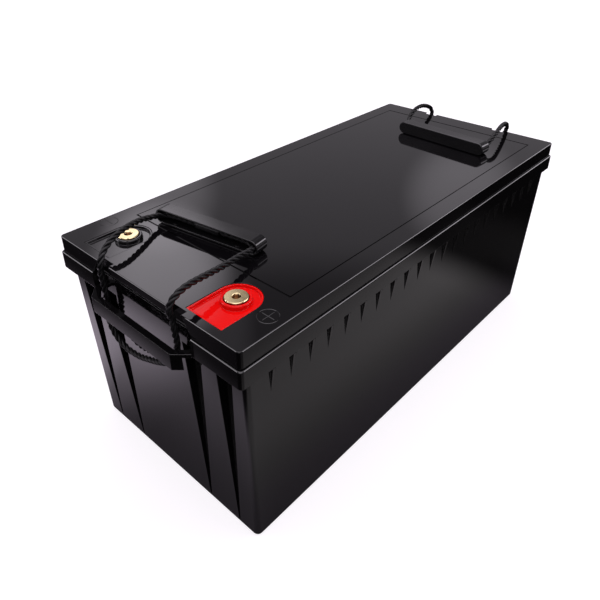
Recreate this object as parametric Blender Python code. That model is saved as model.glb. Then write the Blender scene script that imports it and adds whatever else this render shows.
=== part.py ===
"""Battery pack: a 12.8 V lithium iron phosphate block in a moulded case with two rope handles.

Frame: origin under the middle of the box, +Z up, X along the length with the terminals at -X.
The positive terminal is at -Y and the negative one at +Y. Everything is in metres.
"""
import math

import bmesh
import bpy
from mathutils import Matrix, Vector

MM = 0.001
GAP = 0.3 * MM                     # clearance between pieces that touch
OVER = 1 * MM                      # how far a cutter runs past a face, or a joined body into its host

# Container: outer size over the rim, and the drafted walls below it
LENGTH = 522 * MM
WIDTH = 240 * MM
HEIGHT = 219 * MM
RIM_TOP = 203 * MM
RIM_BOTTOM = 185 * MM
WALL_TOP = (254.4 * MM, 117.0 * MM)        # half size of the wall at RIM_TOP
WALL_FOOT = (248.0 * MM, 114.4 * MM)       # half size of the wall at the floor
CORNER = 5 * MM
FOOT_BEVEL = 1.5 * MM
RIM_CORNER = 3.5 * MM
RIM_EDGE = 0.8 * MM
FLOOR = 3 * MM
CAVITY_TOP = (250.5 * MM, 112.5 * MM)
CAVITY_FOOT = (245.0 * MM, 111.4 * MM)
CAVITY_CORNER = 5 * MM

# Bridge bar on each end wall, with 45 degree ends
RIM_STOP = 66 * MM                 # the rim ends here, each side of the middle of an end
BAR_FACE = 272 * MM
BAR_HALF = 54 * MM
BAR_ROOT = 66 * MM
BAR_THICK = 6 * MM
BAR_BOTTOM = 173 * MM
BAR_TOP = 188.5 * MM

# Tapered grooves in the end walls: centre at the top, centre at the foot
GROOVES = ((56 * MM, 53 * MM, 22 * MM), (92.5 * MM, 91.5 * MM, 18.5 * MM))
GROOVE_FOOT_WIDTH = 1.5 * MM
GROOVE_DEPTH = (11 * MM, 1.2 * MM) # at the top and at the foot
GROOVE_FLOOR = 0.94                # width of the groove's floor over the width of its mouth
GROOVE_FOOT = 3.5 * MM
GROOVE_REACH = 12 * MM             # cutter outside the wall, enough to clear the rim
GROOVE_BACK = 2.6 * MM             # wall left behind and beside a groove

# Gusset teeth under the rim of the long sides
TOOTH_PITCH = 22.3 * MM
TOOTH_FIRST = -228 * MM
TOOTH_COUNT = 21
TOOTH_REACH = 3.6 * MM
TOOTH_THICK = (3 * MM, 0.9 * MM)   # at the rim and at the tip
TOOTH_DROP = 28 * MM
TOOTH_SINK = 0.4 * MM               # how far the tip runs into the wall

# Lid
LID_HALF = (259.3 * MM, 118.3 * MM)
LID_BOTTOM = RIM_TOP + 0.4 * MM
LID_PLATE = 3 * MM
LID_CORNER = 3.5 * MM
LID_EDGE = 1.2 * MM
SEAL_SEAT = (253.5 * MM, 115.3 * MM)
SEAL_CORNER = 6 * MM
SEAL_HIGH = 1.5 * MM
SEAL_WIDE = 2.2 * MM
PANEL = (-189 * MM, 232 * MM, 99 * MM)     # groove of the raised panel: front, rear, half width
PANEL_GROOVE = (1.0 * MM, 0.7 * MM)        # width, depth
POCKET_DEEP = 5.8 * MM                     # finger pocket in each end of the lid
POCKET_HALF = (56 * MM, 66 * MM)           # half width at the top and at the bottom
POCKET_REACH = 3 * MM                      # cutter outside the lid
TONGUE_HALF = 40 * MM                      # plate that bridges the pocket between the rope slots
TONGUE_THICK = 7 * MM

# Terminals
TERMINAL = (-218 * MM, 71 * MM)
TRAY_BACK = -251 * MM              # straight edge of the U
TRAY_CENTRE = -216.7 * MM            # centre of its arch
TRAY_RADIUS = 20 * MM
TRAY_RIM = 1.4 * MM
TRAY_TOP = HEIGHT - 0.3 * MM
TRAY_FLOOR = HEIGHT - 2.6 * MM
TRAY_UNDER = HEIGHT - 5.2 * MM
BOSS = (10.2 * MM, 12.5 * MM, HEIGHT + 1.4 * MM)    # inner and outer radius, top
BOSS_EDGE = 0.9 * MM
STUD_TOP = HEIGHT + 2.6 * MM
STUD_HEAD_RADIUS = 9.6 * MM
STUD_RADIUS = 8 * MM
STUD_EDGE = 0.5 * MM
STUD_BORE = 3.4 * MM
STUD_BORE_DEEP = 14 * MM
SHANK_BOTTOM = 204 * MM            # thick threaded part under the head, clamped by the lock nut
PIN = (4 * MM, 193 * MM)           # thin threaded end for the lug: radius, bottom
BUCKET_WALL = 2.6 * MM             # lid wall round a tray
NUT = (14 * MM, 4 * MM)            # lock nut: corner radius, thickness
LUG = (10.5 * MM, 3 * MM)          # ring of a lug: radius, thickness
LUG_BARREL = (6 * MM, 15 * MM, 27 * MM)    # radius, start and end from the stud's axis
LUG_NUT = (8 * MM, 5 * MM)

# Cell block
CELL = (72 * MM, 174 * MM, 204 * MM)
CELL_COUNT = 4
CELL_LIFT = 5.3 * MM
SHEET = 0.8 * MM
POLE_Y = 61 * MM
POLE_HIGH = 3 * MM
POLE_RADIUS = 10 * MM
VENT = (7 * MM, 0.6 * MM)          # pressure relief disc: radius, height
END_PLATE = 5 * MM
BUSBAR = (12 * MM, 1.5 * MM)       # half width, thickness
TAB_LEG = (2 * MM, 2 * MM, 16 * MM)        # clear of the cell, thickness, how far it reaches down
BAND = (16 * MM, 0.8 * MM)         # height, thickness
BANDS = (50 * MM, 150 * MM)
PITCH = CELL[0] + SHEET + 2 * GAP
CELL_TOP = CELL_LIFT + CELL[2]
BUS_UNDER = CELL_TOP + POLE_HIGH + GAP
BLOCK_HALF = 0.5 * CELL_COUNT * PITCH + 0.5 * SHEET + GAP     # to the outside of the last sheets

FOAM_IN = CELL[1] / 2 + 3 * MM
FOAM_OUT = CAVITY_FOOT[1] - 0.5 * MM
FOAM_TOP = CELL_TOP - 52 * MM      # leaves room for the return cable above
REAR_FOAM_INSET = 8 * MM

# Management system, standing between the front end plate and the front wall
SINK_BACK = -(BLOCK_HALF + END_PLATE + 3 * MM)     # face of the heat sink towards the cells
SINK_BASE = 4 * MM
SINK_FIN = (9 * MM, 2.4 * MM, 12.8 * MM)           # height, thickness, pitch
SINK_FINS = 9
FIN_MARGIN = 8 * MM
BOARD_HALF = 62 * MM
BOARD_LOW = 40 * MM
BOARD_HIGH = 160 * MM
BOARD_THICK = 1.6 * MM
BOARD_BACK = SINK_BACK - SINK_BASE - SINK_FIN[0] - 1.5 * MM
BOARD_FRONT = BOARD_BACK - BOARD_THICK
TRANSISTOR = (10 * MM, 15 * MM, 4.5 * MM)          # width, height, thickness
TRANSISTOR_GRID = (8, 2, 13 * MM, 26 * MM)         # columns, rows, pitches
PAD = (24 * MM, 20 * MM, 3 * MM)                   # copper pad for a cable: width, height, thickness
PAD_PLACE = (40 * MM, BOARD_HIGH - 24 * MM)
SCREW_INSET = 5 * MM
SCREW_HOLE = 1.8 * MM
SCREW_HEAD = (3.1 * MM, 2.2 * MM)
SCREW_SHANK = 1.5 * MM
SPACER_RADIUS = 2.8 * MM
STRIP = (8 * MM, 0.5 * MM, 1.2 * MM)               # sense strip: half width, thickness, height over the cells
CABLE_RADIUS = 5.2 * MM
CABLE_SPACING = 12 * MM

# Rope handles
ROPE_RADIUS = 2.8 * MM
PIVOT = (262 * MM, 212 * MM)       # each handle swings about this line along Y
GRIP = (15 * MM, 118 * MM, 14.4 * MM)
GRIP_WALL = 1.9 * MM
GRIP_EDGE = 0.9 * MM
FRONT_GRIP = (-168.5 * MM, 17.4 * MM, math.radians(8.75))      # middle in plan, turn about +Z
REAR_GRIP = (170.5 * MM, -18.0 * MM, math.radians(176.5))
SPLICE_RADIUS = 4.3 * MM
SPLICE_EDGE = 0.8 * MM
POINT_SPACING = 9 * MM


# ---------------------------------------------------------------- materials

def material(name, colour, roughness, metallic=0.0):
    mat = bpy.data.materials.new(name)
    mat.use_nodes = True
    shader = mat.node_tree.nodes["Principled BSDF"]
    shader.inputs["Base Color"].default_value = (*colour, 1.0)
    shader.inputs["Roughness"].default_value = roughness
    shader.inputs["Metallic"].default_value = metallic
    return mat


# ---------------------------------------------------------------- shape helpers

def rounded_rect(half_x, half_y, radius, steps=4, centre=(0.0, 0.0)):
    """Counter-clockwise outline of a rectangle with round corners."""
    points = []
    corners = ((1, 1, 0.0), (-1, 1, 0.5), (-1, -1, 1.0), (1, -1, 1.5))
    for sign_x, sign_y, start in corners:
        for step in range(steps + 1):
            angle = math.pi * (start + 0.5 * step / steps)
            points.append((centre[0] + sign_x * (half_x - radius) + radius * math.cos(angle),
                           centre[1] + sign_y * (half_y - radius) + radius * math.sin(angle)))
    return points


def u_outline(inset, side, steps=16):
    """Outline of a terminal tray, drawn in from the pocket's edge by inset."""
    radius = TRAY_RADIUS - inset
    centre_y = side * TERMINAL[1]
    points = [(TRAY_BACK + inset, centre_y - radius)]
    for step in range(steps + 1):
        angle = math.pi * (step / steps - 0.5)
        points.append((TRAY_CENTRE + radius * math.cos(angle), centre_y + radius * math.sin(angle)))
    points.append((TRAY_BACK + inset, centre_y + radius))
    return points


def loft(bm, layers):
    """Add one closed body through outlines of equal length, given as (outline, z), bottom first."""
    rings = [[bm.verts.new((x, y, z)) for x, y in outline] for outline, z in layers]
    bm.faces.new(list(reversed(rings[0])))
    bm.faces.new(rings[-1])
    count = len(rings[0])
    for low, high in zip(rings, rings[1:]):
        for i in range(count):
            j = (i + 1) % count
            bm.faces.new((low[i], low[j], high[j], high[i]))


def side_loft(bm, layers):
    """Closed body through (y, z) outlines of equal length, each at its own x."""
    rings = [[bm.verts.new((x, y, z)) for y, z in outline] for outline, x in layers]
    bm.faces.new(list(reversed(rings[0])))
    bm.faces.new(rings[-1])
    for ring, following in zip(rings, rings[1:]):
        for i in range(len(ring)):
            j = (i + 1) % len(ring)
            bm.faces.new((ring[i], ring[j], following[j], following[i]))


def box(bm, low, high):
    """Add an axis-aligned box between two corners."""
    outline = [(low[0], low[1]), (high[0], low[1]), (high[0], high[1]), (low[0], high[1])]
    loft(bm, [(outline, low[2]), (outline, high[2])])


def hull_of(bm, points):
    """Add the convex body over a few points."""
    verts = [bm.verts.new(p) for p in points]
    bmesh.ops.convex_hull(bm, input=verts)


def lathe(bm, profile, segments=32, centre=(0.0, 0.0)):
    """Add a turned body: a closed (radius, z) profile, counter-clockwise, spun about a vertical axis."""
    rings = []
    for radius, z in profile:
        if radius == 0.0:
            rings.append([bm.verts.new((centre[0], centre[1], z))])
            continue
        ring = []
        for step in range(segments):
            angle = 2 * math.pi * step / segments
            ring.append(bm.verts.new((centre[0] + radius * math.cos(angle),
                                      centre[1] + radius * math.sin(angle), z)))
        rings.append(ring)
    for ring, following in zip(rings, rings[1:] + rings[:1]):
        if len(ring) == 1 and len(following) == 1:
            continue
        for i in range(segments):
            j = (i + 1) % segments
            if len(ring) == 1:
                bm.faces.new((ring[0], following[j], following[i]))
            elif len(following) == 1:
                bm.faces.new((ring[i], ring[j], following[0]))
            else:
                bm.faces.new((ring[i], ring[j], following[j], following[i]))


def finish(name, bm, mat=None, smooth=35, parent=None):
    """Turn a bmesh into an object with outward faces."""
    bmesh.ops.recalc_face_normals(bm, faces=bm.faces)
    mesh = bpy.data.meshes.new(name)
    bm.to_mesh(mesh)
    bm.free()
    if smooth:
        mesh.shade_smooth()
        mesh.set_sharp_from_angle(angle=math.radians(smooth))
    obj = bpy.data.objects.new(name, mesh)
    bpy.context.scene.collection.objects.link(obj)
    if mat:
        mesh.materials.append(mat)
    if parent:
        obj.parent = parent
        obj.matrix_parent_inverse = Matrix.Translation(parent.location).inverted()
    return obj


def combine(target, name, bm, operation):
    """Join or cut target with the bodies in bm, which may overlap each other."""
    tool = finish(name, bm, smooth=0)
    tool.hide_render = True
    tool.display_type = 'WIRE'
    modifier = target.modifiers.new(name, 'BOOLEAN')
    modifier.operation = operation
    modifier.solver = 'EXACT'
    modifier.use_self = True
    modifier.object = tool
    return tool


# ---------------------------------------------------------------- container

def wall_half(z):
    """Half size of the drafted outer wall at a height."""
    t = z / RIM_TOP
    return tuple(low + (high - low) * t for low, high in zip(WALL_FOOT, WALL_TOP))


def make_container(mat):
    bm = bmesh.new()
    foot = wall_half(0.0)
    layers = [(rounded_rect(foot[0] - FOOT_BEVEL, foot[1] - FOOT_BEVEL, CORNER - FOOT_BEVEL), 0.0)]
    low = wall_half(FOOT_BEVEL)
    layers.append((rounded_rect(low[0], low[1], CORNER), FOOT_BEVEL))
    layers.append((rounded_rect(WALL_TOP[0], WALL_TOP[1], CORNER), RIM_TOP))
    loft(bm, layers)
    body = finish("container", bm, mat)
    combine(body, "container_rim", rim_tool(), 'UNION')
    combine(body, "container_bars", bar_tool(), 'UNION')
    combine(body, "container_teeth", tooth_tool(), 'UNION')
    cavity = combine(body, "container_cavity", cavity_tool(), 'DIFFERENCE')
    combine(cavity, "container_groove_backs", groove_tool(GROOVE_BACK), 'DIFFERENCE')
    combine(body, "container_grooves", groove_tool(0.0), 'DIFFERENCE')
    return body


def rim_tool():
    """The thick rim, as one U-shaped body on each side of the two rope bays."""
    bm = bmesh.new()
    half = (LENGTH / 2, WIDTH / 2)
    for side in (1, -1):
        layers = []
        for inset, z in ((RIM_EDGE * 2, RIM_BOTTOM), (0.0, RIM_BOTTOM + 2 * RIM_EDGE),
                         (0.0, RIM_TOP - RIM_EDGE), (RIM_EDGE, RIM_TOP)):
            layers.append((half_rim(half[0] - inset, half[1] - inset, side), z))
        loft(bm, layers)
    return bm


def half_rim(half_x, half_y, side, steps=4):
    """Outline of the rim on one long side: two round corners, returns along the ends, hollow inside."""
    inner_x = WALL_TOP[0] - 2 * OVER
    inner_y = WALL_TOP[1] - 2 * OVER
    points = [(half_x, RIM_STOP)]
    for sign_x, start in ((1, 0.0), (-1, 0.5)):
        for step in range(steps + 1):
            angle = math.pi * (start + 0.5 * step / steps)
            points.append((sign_x * (half_x - RIM_CORNER) + RIM_CORNER * math.cos(angle),
                           half_y - RIM_CORNER + RIM_CORNER * math.sin(angle)))
    points += [(-half_x, RIM_STOP), (-inner_x, RIM_STOP), (-inner_x, inner_y),
               (inner_x, inner_y), (inner_x, RIM_STOP)]
    if side > 0:
        return points
    return [(x, -y) for x, y in reversed(points)]


def bar_tool():
    """The bar that bridges the bay at each end, rooted in the wall beside it."""
    bm = bmesh.new()
    root_x = LENGTH / 2
    in_wall = WALL_FOOT[0] + 3 * OVER
    inset = BAR_THICK
    shoulder = inset * math.tan(math.radians(22.5))
    outer = [(in_wall, BAR_ROOT), (root_x, BAR_ROOT), (BAR_FACE, BAR_HALF)]
    inner = [(in_wall, BAR_ROOT - inset), (root_x - inset / 3, BAR_ROOT - inset),
             (BAR_FACE - inset, BAR_HALF - shoulder)]
    for end in (1, -1):
        arc = [(end * x, -y) for x, y in outer] + [(end * x, y) for x, y in reversed(outer)]
        arc += [(end * x, y) for x, y in inner] + [(end * x, -y) for x, y in reversed(inner)]
        if end < 0:
            arc.reverse()
        loft(bm, [(arc, BAR_BOTTOM), (arc, BAR_TOP)])
    return bm


def tooth_tool():
    """Gussets under the rim of the long sides, each fading into the drafted wall."""
    bm = bmesh.new()
    top = RIM_BOTTOM + OVER
    root = wall_half(RIM_BOTTOM)[1] - OVER
    nose = wall_half(RIM_BOTTOM)[1] + TOOTH_REACH - RIM_EDGE
    tip = wall_half(top - TOOTH_DROP)[1] - TOOTH_SINK
    for side in (1, -1):
        for i in range(TOOTH_COUNT):
            x = TOOTH_FIRST + i * TOOTH_PITCH
            points = []
            for across in (-0.5, 0.5):
                points.append((x + across * TOOTH_THICK[0], side * root, top))
                points.append((x + across * TOOTH_THICK[0], side * nose, top))
                points.append((x + across * TOOTH_THICK[1], side * tip, top - TOOTH_DROP))
            hull_of(bm, points)
    return bm


def groove_tool(grow):
    """Tapered wedges on both end walls; grow makes the fatter ones that back them inside."""
    bm = bmesh.new()
    for end in (1, -1):
        for side in (1, -1):
            for top_y, foot_y, top_width in GROOVES:
                points = []
                for y, width, z, depth in ((top_y, top_width, RIM_BOTTOM, GROOVE_DEPTH[0]),
                                           (foot_y, GROOVE_FOOT_WIDTH, GROOVE_FOOT, GROOVE_DEPTH[1])):
                    face = wall_half(z)[0]
                    for across in (-0.5, 0.5):
                        mouth = side * y + across * (width + 2 * grow)
                        back = side * y + across * (GROOVE_FLOOR * width + 2 * grow)
                        points.append((end * (face - depth - grow), back, z + grow))
                        points.append((end * (face + GROOVE_REACH), mouth, z + grow))
                hull_of(bm, points)
    return bm


def cavity_tool():
    """The inside of the container."""
    bm = bmesh.new()
    layers = [(rounded_rect(*CAVITY_FOOT, CAVITY_CORNER), FLOOR),
              (rounded_rect(*CAVITY_TOP, CAVITY_CORNER), RIM_TOP + OVER)]
    loft(bm, layers)
    return bm


# ---------------------------------------------------------------- lid and seal

def make_lid(mat):
    bm = bmesh.new()
    corner = LID_CORNER
    layers = [(rounded_rect(LID_HALF[0], LID_HALF[1], corner, 5), LID_BOTTOM)]
    for step in range(4):
        angle = 0.5 * math.pi * step / 3
        inset = LID_EDGE * (1 - math.cos(angle))
        layers.append((rounded_rect(LID_HALF[0] - inset, LID_HALF[1] - inset, corner - inset, 5),
                       HEIGHT - LID_EDGE + LID_EDGE * math.sin(angle)))
    loft(bm, layers)
    lid = finish("lid", bm, mat)
    combine(lid, "lid_hollow", lid_hollow_tool(), 'DIFFERENCE')
    combine(lid, "lid_buckets", bucket_tool(), 'UNION')
    combine(lid, "lid_cuts", lid_cut_tool(), 'DIFFERENCE')
    return lid


def lid_hollow_tool():
    """The seal's seat and, above it, the hollow under the plate."""
    bm = bmesh.new()
    seat = rounded_rect(*SEAL_SEAT, SEAL_CORNER)
    loft(bm, [(seat, LID_BOTTOM - 2 * OVER), (seat, RIM_TOP + SEAL_HIGH + 2 * GAP)])
    inner = rounded_rect(CAVITY_TOP[0] + GAP, CAVITY_TOP[1] + GAP, CAVITY_CORNER)
    loft(bm, [(inner, LID_BOTTOM - OVER), (inner, HEIGHT - LID_PLATE)])
    return bm


def bucket_tool():
    """Thicker plate under each terminal tray."""
    bm = bmesh.new()
    for side in (1, -1):
        outline = u_outline(-BUCKET_WALL, side)
        loft(bm, [(outline, TRAY_UNDER - GAP - LID_PLATE), (outline, HEIGHT - LID_PLATE / 2)])
    return bm


def lid_cut_tool():
    """Everything cut out of the lid from outside."""
    bm = bmesh.new()
    hole_low = TRAY_UNDER - GAP - LID_PLATE - OVER
    hole = STUD_RADIUS + GAP
    for side in (1, -1):
        outline = u_outline(0.0, side)
        loft(bm, [(outline, TRAY_UNDER - GAP), (outline, HEIGHT + OVER)])
        lathe(bm, [(0.0, hole_low), (hole, hole_low), (hole, HEIGHT - OVER), (0.0, HEIGHT - OVER)], 28,
              (TERMINAL[0], side * TERMINAL[1]))
    panel_groove_tool(bm)
    for end in (1, -1):
        pocket_tool(bm, end)
    return bm


def panel_groove_tool(bm):
    """Four thin boxes along the edge of the raised panel."""
    front, rear, half = PANEL
    wide, deep = PANEL_GROOVE[0] / 2, PANEL_GROOVE[1]
    low, high = HEIGHT - deep, HEIGHT + OVER
    for y in (-half, half):
        box(bm, (front, y - wide, low), (rear, y + wide, high))
    for x in (front, rear):
        box(bm, (x - wide, -half - wide, low), (x + wide, half + wide, high))


def pocket_tool(bm, end):
    """Finger pocket under the tongue of one end, and the rope slot on each side of the tongue."""
    outer = end * (LID_HALF[0] + POCKET_REACH)
    inner = end * (LID_HALF[0] - POCKET_DEEP)
    low, high = min(outer, inner), max(outer, inner)
    top_half, low_half = POCKET_HALF
    slope = (low_half - top_half) / (HEIGHT - LID_BOTTOM)
    under = HEIGHT - TONGUE_THICK
    shelf_half = top_half + slope * TONGUE_THICK
    foot_half = low_half + slope * OVER
    side_prism(bm, low, high, [(-foot_half, LID_BOTTOM - OVER), (foot_half, LID_BOTTOM - OVER),
                               (shelf_half, under), (-shelf_half, under)])
    lap = OVER / 2
    for side in (1, -1):
        slot = [(side * TONGUE_HALF, under - lap), (side * (shelf_half + slope * lap), under - lap),
                (side * (top_half - slope * OVER), HEIGHT + OVER), (side * TONGUE_HALF, HEIGHT + OVER)]
        if side < 0:
            slot.reverse()
        side_prism(bm, low, high, slot)


def side_prism(bm, low_x, high_x, outline):
    """Add a prism along X over a (y, z) outline."""
    side_loft(bm, [(outline, low_x), (outline, high_x)])


def make_seal(mat):
    bm = bmesh.new()
    outer = rounded_rect(SEAL_SEAT[0] - GAP, SEAL_SEAT[1] - GAP, SEAL_CORNER)
    inset = GAP + SEAL_WIDE
    inner = rounded_rect(SEAL_SEAT[0] - inset, SEAL_SEAT[1] - inset, SEAL_CORNER - SEAL_WIDE)
    ring_body(bm, outer, inner, RIM_TOP + GAP, RIM_TOP + GAP + SEAL_HIGH)
    return finish("lid_seal", bm, mat)


def ring_body(bm, outer, inner, low, high):
    """Add a flat closed ring between two outlines of equal length."""
    count = len(outer)
    rings = [[bm.verts.new((x, y, z)) for x, y in outline]
             for outline, z in ((outer, low), (outer, high), (inner, high), (inner, low))]
    for ring, following in zip(rings, rings[1:] + rings[:1]):
        for i in range(count):
            j = (i + 1) % count
            bm.faces.new((ring[i], ring[j], following[j], following[i]))


# ---------------------------------------------------------------- terminals

def stud_centre(side):
    return (TERMINAL[0], side * TERMINAL[1])


def make_tray(name, side, mat):
    """U-shaped insert with a sunk floor, a boss round the stud's head and a hole for its shank."""
    bm = bmesh.new()
    loft(bm, [(u_outline(GAP, side), TRAY_UNDER), (u_outline(GAP, side), TRAY_TOP)])
    tray = finish(name, bm, mat)
    centre = stud_centre(side)
    dish = bmesh.new()
    loft(dish, [(u_outline(TRAY_RIM + OVER, side), TRAY_FLOOR), (u_outline(TRAY_RIM, side), HEIGHT + OVER)])
    combine(tray, name + "_dish", dish, 'DIFFERENCE')
    boss = bmesh.new()
    seat_radius, radius, top = BOSS
    lathe(boss, [(0.0, TRAY_UNDER + OVER), (radius, TRAY_UNDER + OVER), (radius, top - BOSS_EDGE),
                 (radius - BOSS_EDGE, top), (0.0, top)], 40, centre)
    combine(tray, name + "_boss", boss, 'UNION')
    seat = bmesh.new()
    lathe(seat, [(0.0, TRAY_FLOOR), (seat_radius, TRAY_FLOOR), (seat_radius, STUD_TOP), (0.0, STUD_TOP)],
          40, centre)
    combine(tray, name + "_seat", seat, 'DIFFERENCE')
    hole = bmesh.new()
    lathe(hole, [(0.0, TRAY_UNDER - OVER), (STUD_RADIUS + GAP, TRAY_UNDER - OVER),
                 (STUD_RADIUS + GAP, TRAY_FLOOR + OVER), (0.0, TRAY_FLOOR + OVER)], 28, centre)
    combine(tray, name + "_hole", hole, 'DIFFERENCE')
    return tray


def make_terminal(name, side, mat):
    """Brass stud: round head with a threaded bore, thick shank through the lid, thin end for the lug."""
    bm = bmesh.new()
    under_head = TRAY_FLOOR + GAP
    bore_end = STUD_TOP - STUD_BORE_DEEP
    pin, pin_end = PIN
    profile = [(0.0, pin_end), (pin - STUD_EDGE, pin_end), (pin, pin_end + STUD_EDGE), (pin, SHANK_BOTTOM),
               (STUD_RADIUS, SHANK_BOTTOM), (STUD_RADIUS, under_head), (STUD_HEAD_RADIUS, under_head),
               (STUD_HEAD_RADIUS, STUD_TOP - STUD_EDGE), (STUD_HEAD_RADIUS - STUD_EDGE, STUD_TOP),
               (STUD_BORE + STUD_EDGE, STUD_TOP), (STUD_BORE, STUD_TOP - STUD_EDGE), (STUD_BORE, bore_end),
               (0.0, bore_end)]
    lathe(bm, profile, 32, stud_centre(side))
    return finish(name, bm, mat)


def make_nut(name, centre, corner_radius, hole_radius, low, high, mat, steps=4):
    """Hexagon nut with a round hole."""
    bm = bmesh.new()
    corners = [(centre[0] + corner_radius * math.cos(i * math.pi / 3),
                centre[1] + corner_radius * math.sin(i * math.pi / 3)) for i in range(6)]
    outer = []
    for start, end in zip(corners, corners[1:] + corners[:1]):
        for step in range(steps):
            t = step / steps
            outer.append((start[0] + (end[0] - start[0]) * t, start[1] + (end[1] - start[1]) * t))
    inner = []
    for i in range(len(outer)):
        angle = 2 * math.pi * i / len(outer)
        inner.append((centre[0] + hole_radius * math.cos(angle), centre[1] + hole_radius * math.sin(angle)))
    ring_body(bm, outer, inner, low, high)
    return finish(name, bm, mat)


def make_lock_nut(name, side, mat):
    """Clamps the stud's shank under the lid."""
    top = TRAY_UNDER - GAP - LID_PLATE - GAP
    return make_nut(name, stud_centre(side), NUT[0], STUD_RADIUS + GAP, top - NUT[1], top, mat)


def make_lug(name, side, direction, mat):
    """Ring lug on the stud's thin end, with the barrel for its cable pointing in a direction."""
    bm = bmesh.new()
    top = SHANK_BOTTOM - GAP
    radius, thick = LUG
    hole = PIN[0] + GAP
    centre = Vector((*stud_centre(side), 0.0))
    lathe(bm, [(hole, top - thick), (radius, top - thick), (radius, top), (hole, top)], 28, centre)
    lug = finish(name, bm, mat)
    barrel_radius, start, end = LUG_BARREL
    barrel = bmesh.new()
    middle = top - thick / 2
    neck = barrel_radius - OVER
    side_prism(barrel, radius - 2 * OVER, start + OVER,
               [(-neck, middle - thick / 2 + OVER / 4), (neck, middle - thick / 2 + OVER / 4),
                (neck, middle + thick / 2 - OVER / 4), (-neck, middle + thick / 2 - OVER / 4)])
    cylinder_x(barrel, start, end, 0.0, middle, barrel_radius, 20)
    turn = Matrix.Rotation(math.atan2(direction[1], direction[0]), 4, 'Z')
    bmesh.ops.transform(barrel, matrix=Matrix.Translation(centre) @ turn, verts=barrel.verts)
    combine(lug, name + "_barrel", barrel, 'UNION')
    return lug


def make_lug_nut(name, side, mat):
    """Holds the lug against the shank."""
    top = SHANK_BOTTOM - GAP - LUG[1] - GAP
    return make_nut(name, stud_centre(side), LUG_NUT[0], PIN[0] + GAP, top - LUG_NUT[1], top, mat)


# ---------------------------------------------------------------- cell block

def cell_x(index):
    return (index - 0.5 * (CELL_COUNT - 1)) * PITCH


def make_cell(index, case_mat):
    """Prismatic cell with its two poles and, between them, its vent."""
    bm = bmesh.new()
    x = cell_x(index)
    half = (CELL[0] / 2, CELL[1] / 2)
    outline = rounded_rect(half[0], half[1], 2.5 * MM, 3, (x, 0.0))
    loft(bm, [(outline, CELL_LIFT), (outline, CELL_TOP)])
    cell = finish("cell_%d" % (index + 1), bm, case_mat)
    poles = bmesh.new()
    stubs = ((-POLE_Y, POLE_RADIUS, POLE_HIGH), (POLE_Y, POLE_RADIUS, POLE_HIGH), (0.0, *VENT))
    for y, radius, high in stubs:
        lathe(poles, [(0.0, CELL_TOP - OVER), (radius, CELL_TOP - OVER), (radius, CELL_TOP + high),
                      (0.0, CELL_TOP + high)], 20, (x, y))
    combine(cell, "cell_%d_poles" % (index + 1), poles, 'UNION')
    return cell


def make_sheet(index, mat):
    """Insulating sheet number index, from the front of cell 1 to the back of cell 4."""
    bm = bmesh.new()
    x = (index - 0.5 * CELL_COUNT) * PITCH
    box(bm, (x - SHEET / 2, -CELL[1] / 2, CELL_LIFT), (x + SHEET / 2, CELL[1] / 2, CELL_TOP - OVER))
    return finish("insulating_sheet_%d" % (index + 1), bm, mat, 0)


def make_busbar(name, first, side, mat):
    """Welded bar over two neighbouring poles."""
    bm = bmesh.new()
    wide, thick = BUSBAR
    x1, x2 = cell_x(first), cell_x(first + 1)
    y = side * POLE_Y
    box(bm, (x1 - wide, y - wide, BUS_UNDER), (x2 + wide, y + wide, BUS_UNDER + thick))
    return finish(name, bm, mat, 0)


def make_tab(name, index, side, mat):
    """Tab on the free pole of the first or last cell, bent down over the cell's edge to its lug."""
    bm = bmesh.new()
    wide, thick = BUSBAR
    clear, leg_thick, drop = TAB_LEG
    x = cell_x(index)
    high = BUS_UNDER + thick
    inside = CELL[1] / 2 + clear
    y = sorted((side * (POLE_Y - wide), side * (inside + leg_thick)))
    box(bm, (x - wide, y[0], BUS_UNDER), (x + wide, y[1], high))
    tab = finish(name, bm, mat, 0)
    leg = bmesh.new()
    y = sorted((side * inside, side * (inside + leg_thick)))
    box(leg, (x - wide, y[0], CELL_TOP - drop), (x + wide, y[1], BUS_UNDER + thick / 2))
    combine(tab, name + "_leg", leg, 'UNION')
    return tab


def make_end_plate(name, end, mat):
    bm = bmesh.new()
    x = sorted((end * (BLOCK_HALF + GAP), end * (BLOCK_HALF + GAP + END_PLATE)))
    box(bm, (x[0], -CELL[1] / 2, CELL_LIFT), (x[1], CELL[1] / 2, CELL_TOP - 4 * MM))
    return finish(name, bm, mat, 0)


def make_band(name, z, mat):
    """Flat band round the block and its end plates."""
    bm = bmesh.new()
    half_x = BLOCK_HALF + GAP + END_PLATE + GAP
    half_y = CELL[1] / 2 + GAP
    high, thick = BAND
    sharp = 0.1 * MM                   # keeps the inside clear of the end plates' square corners
    outer = rounded_rect(half_x + thick, half_y + thick, thick + sharp, 2)
    inner = rounded_rect(half_x, half_y, sharp, 2)
    ring_body(bm, outer, inner, z, z + high)
    return finish(name, bm, mat)


# ---------------------------------------------------------------- foam

def make_base_foam(mat):
    bm = bmesh.new()
    half_x = BLOCK_HALF + END_PLATE
    box(bm, (-half_x, -CELL[1] / 2, FLOOR + GAP), (half_x, CELL[1] / 2, CELL_LIFT - GAP))
    return finish("base_foam", bm, mat, 0)


def make_side_foam(name, side, mat):
    bm = bmesh.new()
    y = sorted((side * FOAM_IN, side * FOAM_OUT))
    box(bm, (-BLOCK_HALF, y[0], FLOOR + GAP), (BLOCK_HALF, y[1], FOAM_TOP))
    return finish(name, bm, mat, 0)


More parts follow.
